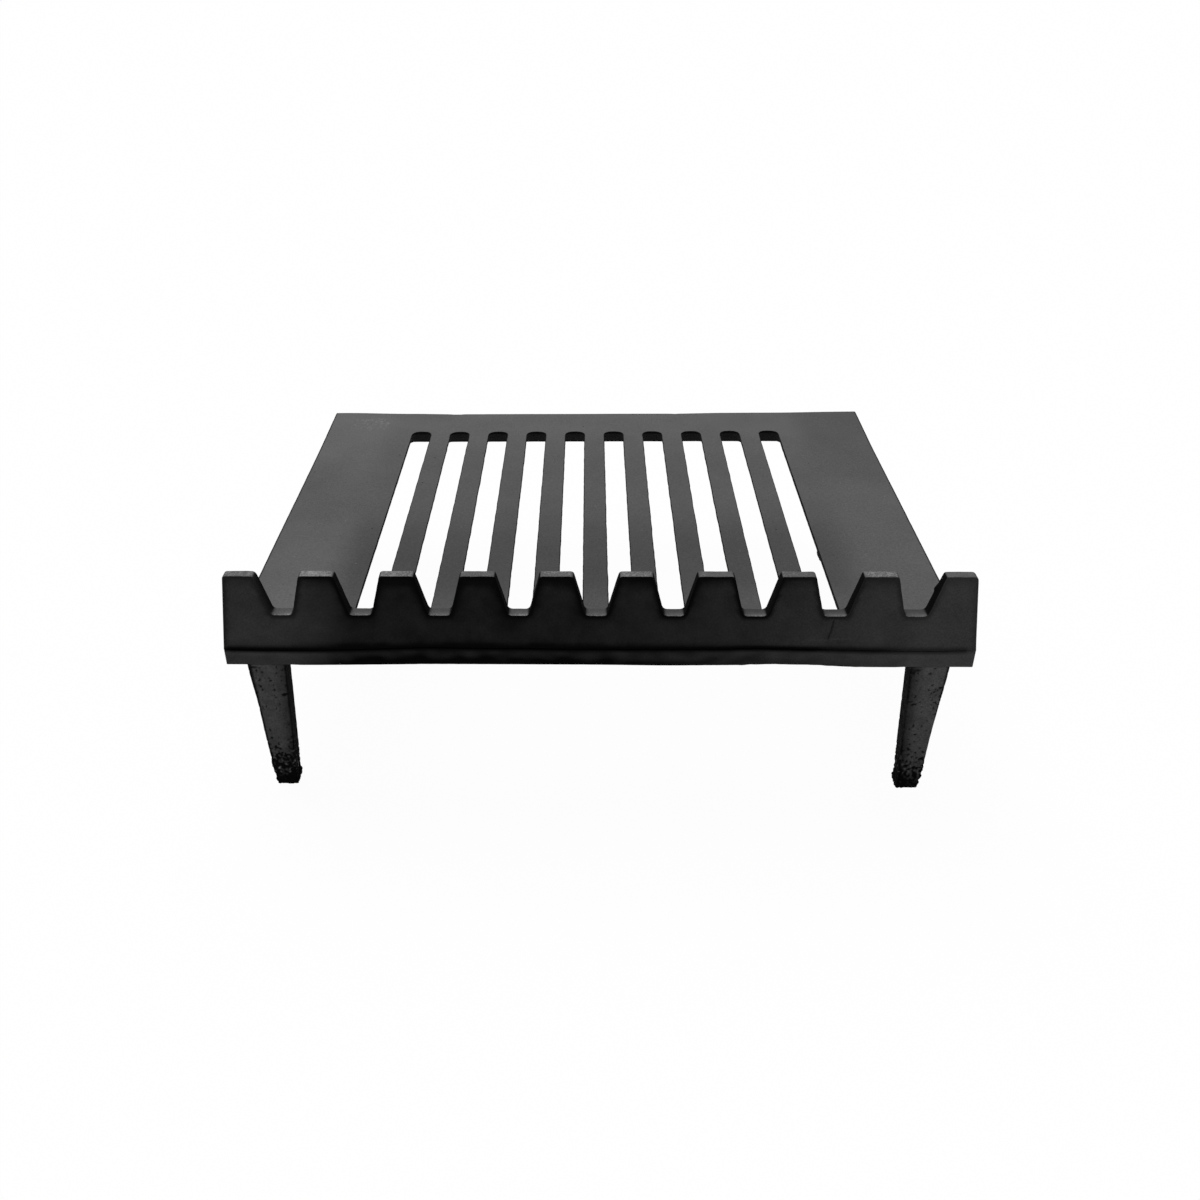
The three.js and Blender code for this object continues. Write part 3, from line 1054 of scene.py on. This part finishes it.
def seam_z(x):
    """Where the level flow mark that crosses its foot runs."""
    return mark_z + 0.05 * (x - mark_x) + 0.4 * wander((x, 0.0, 0.0), 5.0, 22.0)


def flow_marks(x, z):
    """How far a place lies in the upright flow mark, and in the level one."""
    height = z - bed_top
    upright = hump(x, seam_x(z), 0.5)
    upright *= smooth_step(21.0, 18.0, height) * smooth_step(5.5, 8.0, height)
    level = hump(z, seam_z(x), 0.5)
    level *= smooth_step(107.0, 112.0, x) * smooth_step(137.0, 131.0, x)
    return upright, level


def fence_face_dent(x, z):
    """How far the front face lies behind true: soft waves and the two flow marks."""
    wave = 0.06 + 0.06 * wander((x, z, 0.0), 14.0, 18.0)
    upright, level = flow_marks(x, z)
    return wave + max(0.45 * upright, 0.3 * level)


face_places = fence_grid(spacing=2.2, keep=2.2)
marked_places = []
for step in range(19):
    z = bed_top + 4.0 + step * 0.85
    for side in (-1.6, -0.7, 0.0, 0.7, 1.6):
        marked_places.append((seam_x(z) + side, z))
for step in range(36):
    x = 106.0 + step * 0.93
    if abs(x - mark_x) > 2.6:
        for side in (-1.4, -0.6, 0.0, 0.6, 1.4):
            marked_places.append((x, seam_z(x) + side))


def unmarked(x, z):
    """True for a place on the face that is clear of both flow marks."""
    on_upright = abs(x - mark_x - 0.5) < 3.2 and bed_top + 3.5 < z < bed_top + 20.5
    on_level = abs(x - mark_x) < 17.5 and abs(z - mark_z) < 3.0
    return not (on_upright or on_level)


def face_tone(x, z):
    """The tone of the fence's front face: painted shade by its edges, under its tops and over
    its foot.
    """
    distance = min((p - Vector((x, z))).length for p in outline)
    blotch = 0.14 * wander((x, z, 0.0), 15.0, 23.0) + 0.08 * wander((x, z, 0.0), 5.0, 24.0)
    under_tops = 0.22 * smooth_step(fence_top - 9.0, fence_top - 2.0, z)
    over_crease = 0.25 * smooth_step(seat + 6.0, seat + 2.0, z) * (0.3 + 0.7 * front_painted_shade(x))
    shade_and_soot = 0.76 * front_painted_shade(x) + blotch + under_tops + over_crease + face_edge_painted_shade(x, distance)
    upright, level = flow_marks(x, z)
    shade_and_soot += 0.45 * upright - 0.25 * level
    return -min(max(shade_and_soot, 0.0), 0.96)


front_inner = []
for x, z in [p for p in face_places if unmarked(*p)] + marked_places:
    bow = crease_lift(x, front_y) * smooth_step(seat + bow_reach, seat, z)
    front_inner.append((x, front_y + fence_face_dent(x, z), z + bow))
front_tone = [face_tone(x, z) for x, y, z in front_inner]
front_numbers = fence.ring(front_inner, front_tone)
fence.skin([fence_rings[0]], front_numbers, lambda p: (p.x, p.z))
rear_inner = []
for x, z in face_places:
    wave = 0.10 + 0.10 * wander((x, z, 0.0), 11.0, 20.0)
    rear_inner.append((x, fence_rear(z) - wave, z))
rear_numbers = fence.ring(rear_inner, plain_tone)
fence.skin([fence_rings[-1]], rear_numbers, lambda p: (p.x, p.z))

fence_iron = painted_iron(
    "fence_iron",
    {"Grain Size": 0.9, "Pit Size": 1.8, "Pit Share": 0.0015},
    {
        "Paint": (0.050, 0.050, 0.050),
        "Dust And Top Light": (0.100, 0.100, 0.100),
        "Bare Iron And Highlight": (0.21, 0.21, 0.21),
        "Mottle Size": 22.0,
        "Mottle": 0.5,
        "Speck Size": 0.8,
        "Speck": 1.0,
    },
    relief=0.07,
)
front_fence = fence.finish("front_fence_casting", fence_iron)
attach(front_fence, "root")
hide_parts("front_fence")

# ---------------------------------------------------------------- legs
# Four tapered legs, each cast on end in coarse sand, so that their skin is pitted
# and rough towards the foot. A tenon on each head is set in a socket under the bed.
leg_height = underside
head_half = (10.0, 6.5)
foot_half = (6.0, 5.75)
leg_corner = 1.5
tenon_half = (6.0, 3.5)
tenon_height = 6.0

leg_iron = painted_iron(
    "leg_iron",
    {"Grain Size": 0.9, "Pit Size": 1.9, "Pit Share": 0.03},
    {
        "Paint": (0.085, 0.085, 0.085),
        "Dust And Top Light": (0.100, 0.100, 0.100),
        "Bare Iron And Highlight": (0.24, 0.24, 0.24),
        "Mottle Size": 5.0,
        "Mottle": 0.6,
        "Speck Size": 0.8,
        "Speck": 1.6,
    },
    relief=0.10,
)


def porous_share(z, top):
    """How far the coarse sand has made the skin porous: fully so at the foot."""
    return 0.2 * smooth_step(top, top - 3.0, z) + 0.8 * smooth_step(top - 2.0, top - 29.0, z)


def leg_hole(spot, z, porous, outer_half):
    """How far a place lies in a pore, from 0 to 1, and how far it stands proud. High
    on its outer half the pores are drawn out, down and inwards."""
    value = wander(spot, 1.6, 30.0) + 0.15 * wander(spot, 4.5, 31.0)
    limit = -0.50 + 0.66 * porous
    hole = smooth_step(limit + 0.08, limit - 0.08, value)
    across = 0.83 * outer_half * abs(spot.x) + 0.55 * spot.z
    lengthwise = 0.55 * abs(spot.x) - 0.83 * spot.z
    drawn = wander((across / 1.1, spot.y / 1.5, lengthwise / 3.4), 1.0, 34.0)
    limit = -0.75 + 0.5 * outer_half * hump(z, 66.0, 13.0)
    hole = max(hole, smooth_step(limit + 0.08, limit - 0.08, drawn))
    limit = 0.30 + 0.35 * smooth_step(12.0, 6.0, z)
    proud = smooth_step(limit, limit + 0.15, value) * porous
    return hole, proud


def leg_edges(spot, z, outer, inner, outer_edge, inner_edge):
    """How far a leg's two side faces stand out of the even taper there."""
    out = outer_edge["spread"] * outer + inner_edge["spread"] * inner
    out += inner_edge["swelling"] * inner * hump(z, inner_edge["height"], inner_edge["length"])
    out += outer_edge["flare"] * outer * smooth_step(56.0, 80.0, z)
    out -= outer_edge["hollow"] * outer * hump(z, 37.0, 20.0)
    out += outer_edge["torn"] * outer * smooth_step(16.0, 8.0, z) * wander(spot, 2.4, 32.0)
    out -= outer_edge["worn_foot"] * outer * smooth_step(7.0, 2.0, z)
    out += outer_edge["swollen_foot"] * outer * hump(z, 13.0, 6.5, power=4)
    return out


def leg_shade_and_soot(spot, z, outwards, inner, to_rear, shades):
    """Painted shade on a leg's sound skin, least on the front and most on the sides and rear,
    with soot towards the foot.
    """
    on_side = shades["side"] + max(0.97 - shades["side"], 0.0) * to_rear
    on_side += 0.25 * wander(spot, 1.6, 35.0)
    shade_and_soot = shades["front"] + shades["inwards"] * smooth_step(0.1, 0.95, -outwards)
    shade_and_soot += smooth_step(0.3, 1.0, inner) * (on_side - shade_and_soot)
    shade_and_soot += 0.9 * smooth_step(0.80, 0.93, outwards) + 0.12 * wander(spot, 6.0, 33.0)
    return shade_and_soot + 0.35 * smooth_step(11.0, 4.0, z)


def make_leg(name, middle, seed, outer_edge, inner_edge, shades, marks=()):
    """One leg. outer_edge and inner_edge say how far that side stands out of the even
    taper and where it swells or is hollow, torn or worn. shades: how dark the front is
    painted, how much more so inwards, and how dark the inner side is, all as painted shade,
    and how high the skin is porous. marks: sooty hollows in the front, each with its
    place, outwards and up, and its half sizes."""
    leg = Casting()
    outer_side = math.copysign(1.0, middle.x)
    mean_x = (head_half[0] + foot_half[0]) / 2
    mean_y = (head_half[1] + foot_half[1]) / 2
    plan = rounded_rectangle(mean_x, mean_y, leg_corner, spacing=0.5, steps=4)
    level_count = 170
    rings = []
    for level in range(level_count + 1):
        z = leg_height * level / level_count
        rise = z / leg_height
        porous = porous_share(z, shades["porous_top"])
        wide = (foot_half[0] + (head_half[0] - foot_half[0]) * rise) / mean_x
        deep = (foot_half[1] + (head_half[1] - foot_half[1]) * rise) / mean_y
        side_blunt = 1.1 * (1.0 - min(z / 4.5, 1.0)) ** 2
        front_blunt = 0.7 * (1.0 - min(z / 1.3, 1.0)) ** 2
        ring = []
        tone = []
        for place, away in plan:
            outer = max(0.0, outer_side * away.x)
            inner = max(0.0, -outer_side * away.x)
            outwards = outer_side * place.x / mean_x
            x = place.x * wide
            y = place.y * deep
            spot = Vector((x + seed * 31.0, y, z))
            hole, proud = leg_hole(spot, z, porous, smooth_step(0.1, 0.6, outwards))
            if place.y < 0.0:
                for out_at, up_at, half_long, half_tall in marks:
                    mark = hump(outwards, out_at, half_long, power=4)
                    hole = max(hole, mark * hump(z, up_at, half_tall))
            out = leg_edges(spot, z, outer, inner, outer_edge, inner_edge)
            out -= side_blunt * (outer + 0.7 * inner) + front_blunt * abs(away.y)
            out -= hole * (0.14 + 0.24 * porous)
            out -= 0.08 * wander(spot, 3.2, seed)
            x += middle.x + away.x * out
            y += middle.y + away.y * out
            y = min(max(y, -bed_depth / 2), bed_depth / 2)
            ring.append((x, y, z))
            to_rear = smooth_step(-0.4, 0.9, place.y / mean_y)
            # Painted shade and soot, with more soot in the porous skin and black in the pores.
            shade_and_soot = leg_shade_and_soot(spot, z, outwards, inner, to_rear, shades) + 0.45 * porous
            shade_and_soot = shade_and_soot + (0.98 - shade_and_soot) * hole
            shade_and_soot = min(max(shade_and_soot, 0.0), 1.0)
            tone.append(-shade_and_soot * (1.0 - proud) + 0.55 * proud)
        rings.append(leg.ring(ring, tone))
    for ring, above in zip(rings, rings[1:]):
        leg.wall(ring, above)
    leg.cap(rings[0], (middle.x, middle.y, 0.0), edge_shade_tone)

    neck = []
    for number in rings[-1]:
        way = leg.points[number].xy - middle
        reach = min(tenon_half[0] / max(abs(way.x), 1e-6), tenon_half[1] / max(abs(way.y), 1e-6))
        neck.append(middle + way * reach)
    tenon_top = leg_height + tenon_height
    neck_ring = leg.ring([(p.x, p.y, leg_height) for p in neck], plain_tone)
    top_ring = leg.ring([(p.x, p.y, tenon_top) for p in neck], plain_tone)
    leg.wall(rings[-1], neck_ring)
    leg.wall(neck_ring, top_ring)
    leg.cap(top_ring, (middle.x, middle.y, tenon_top), plain_tone)

    made = leg.finish(name + "_casting", leg_iron)
    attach(made, "root")
    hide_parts(name)


make_leg(
    "leg_front_left", Vector((-leg_x, leg_rows[0])), 1.0,
    dict(spread=0.30, flare=0.8, hollow=-0.25, torn=0.3, swollen_foot=0.65, worn_foot=-0.3),
    dict(spread=-0.15, swelling=1.05, height=1.5, length=3.6),
    dict(front=0.20, inwards=0.40, side=1.05, porous_top=36.0),
    ((0.75, 83.2, 0.17, 0.7), (0.35, 79.8, 0.08, 0.7), (0.55, 75.0, 0.06, 1.0)),
)
make_leg(
    "leg_front_right", Vector((leg_x, leg_rows[0])), 2.0,
    dict(spread=0.10, flare=0.3, hollow=0.5, torn=0.9, swollen_foot=0.30, worn_foot=1.0),
    dict(spread=0.25, swelling=1.5, height=0.0, length=3.6),
    dict(front=0.05, inwards=0.60, side=0.93, porous_top=31.0),
    ((-0.68, 82.8, 0.18, 0.6), (-0.84, 81.2, 0.07, 1.7), (0.02, 80.6, 0.10, 0.7)),
)
make_leg(
    "leg_rear_left", Vector((-leg_x, leg_rows[1])), 3.0,
    dict(spread=0.30, flare=0.3, hollow=0.2, torn=0.4, swollen_foot=0.2, worn_foot=0.3),
    dict(spread=0.10, swelling=0.6, height=2.0, length=3.5),
    dict(front=0.20, inwards=0.30, side=0.95, porous_top=34.0),
)
make_leg(
    "leg_rear_right", Vector((leg_x, leg_rows[1])), 4.0,
    dict(spread=0.30, flare=0.3, hollow=0.3, torn=0.6, swollen_foot=0.3, worn_foot=0.5),
    dict(spread=-0.10, swelling=0.7, height=2.0, length=3.2),
    dict(front=0.15, inwards=0.35, side=0.95, porous_top=30.0),
)

# ---------------------------------------------------------------- floor and light
# A plain white floor and room. What the camera sees of them is near full white,
# and the rest of the floor's own colour keeps the grate's soft shadow on it.
floor_half = 30.0
floor_mesh = bpy.data.meshes.new("studio_floor")
floor_corners = ((-1, -1), (1, -1), (1, 1), (-1, 1))
floor_points = [(x * floor_half, y * floor_half, 0.0) for x, y in floor_corners]
floor_mesh.from_pydata(floor_points, [], [(0, 1, 2, 3)])
studio_floor = bpy.data.objects.new("studio_floor", floor_mesh)
bpy.context.scene.collection.objects.link(studio_floor)


def seen_share(tree):
    """1 for rays that show a background: from the camera, or by gloss or glass."""
    path = tree.nodes.new("ShaderNodeLightPath")
    seen = math_node(tree, "ADD", path.outputs["Is Camera Ray"], path.outputs["Is Glossy Ray"])
    seen = math_node(tree, "ADD", seen, path.outputs["Is Transmission Ray"])
    return math_node(tree, "MINIMUM", seen, 1.0)


floor_paint = bpy.data.materials.new("studio_floor")
floor_paint.use_nodes = True
tree = floor_paint.node_tree
tree.nodes.remove(tree.nodes["Principled BSDF"])
matt = tree.nodes.new("ShaderNodeBsdfDiffuse")
matt.inputs["Color"].default_value = (0.8, 0.8, 0.8, 1.0)
glow = tree.nodes.new("ShaderNodeEmission")
whiteness = 0.97
blend = tree.nodes.new("ShaderNodeMixShader")
feed(tree, blend.inputs["Fac"], math_node(tree, "MULTIPLY", seen_share(tree), whiteness))
tree.links.new(matt.outputs["BSDF"], blend.inputs[1])
tree.links.new(glow.outputs["Emission"], blend.inputs[2])
tree.links.new(blend.outputs["Shader"], tree.nodes["Material Output"].inputs["Surface"])
floor_mesh.materials.append(floor_paint)

room = bpy.data.worlds.new("studio_room")
bpy.context.scene.world = room
room.use_nodes = True
tree = room.node_tree
air = tree.nodes["Background"]
room_light = (0.28, 0.28, 0.28, 1.0)
seen_colour = (1.0, 1.0, 1.0, 1.0)
feed(tree, air.inputs["Color"], mix_colour(tree, seen_share(tree), room_light, seen_colour))

# One broad light overhead, which comes from a little behind the grate and its left.
key_data = bpy.data.lights.new("overhead_softbox", "SUN")
key_data.energy = 3.0
key_data.angle = math.radians(50.0)
key = bpy.data.objects.new("overhead_softbox", key_data)
bpy.context.scene.collection.objects.link(key)
key_from = Vector((-0.25, 0.55, 1.0))
key.rotation_mode = "QUATERNION"
key.rotation_quaternion = key_from.to_track_quat("Z", "Y")

view_settings = bpy.context.scene.view_settings
view_settings.view_transform = "Standard"
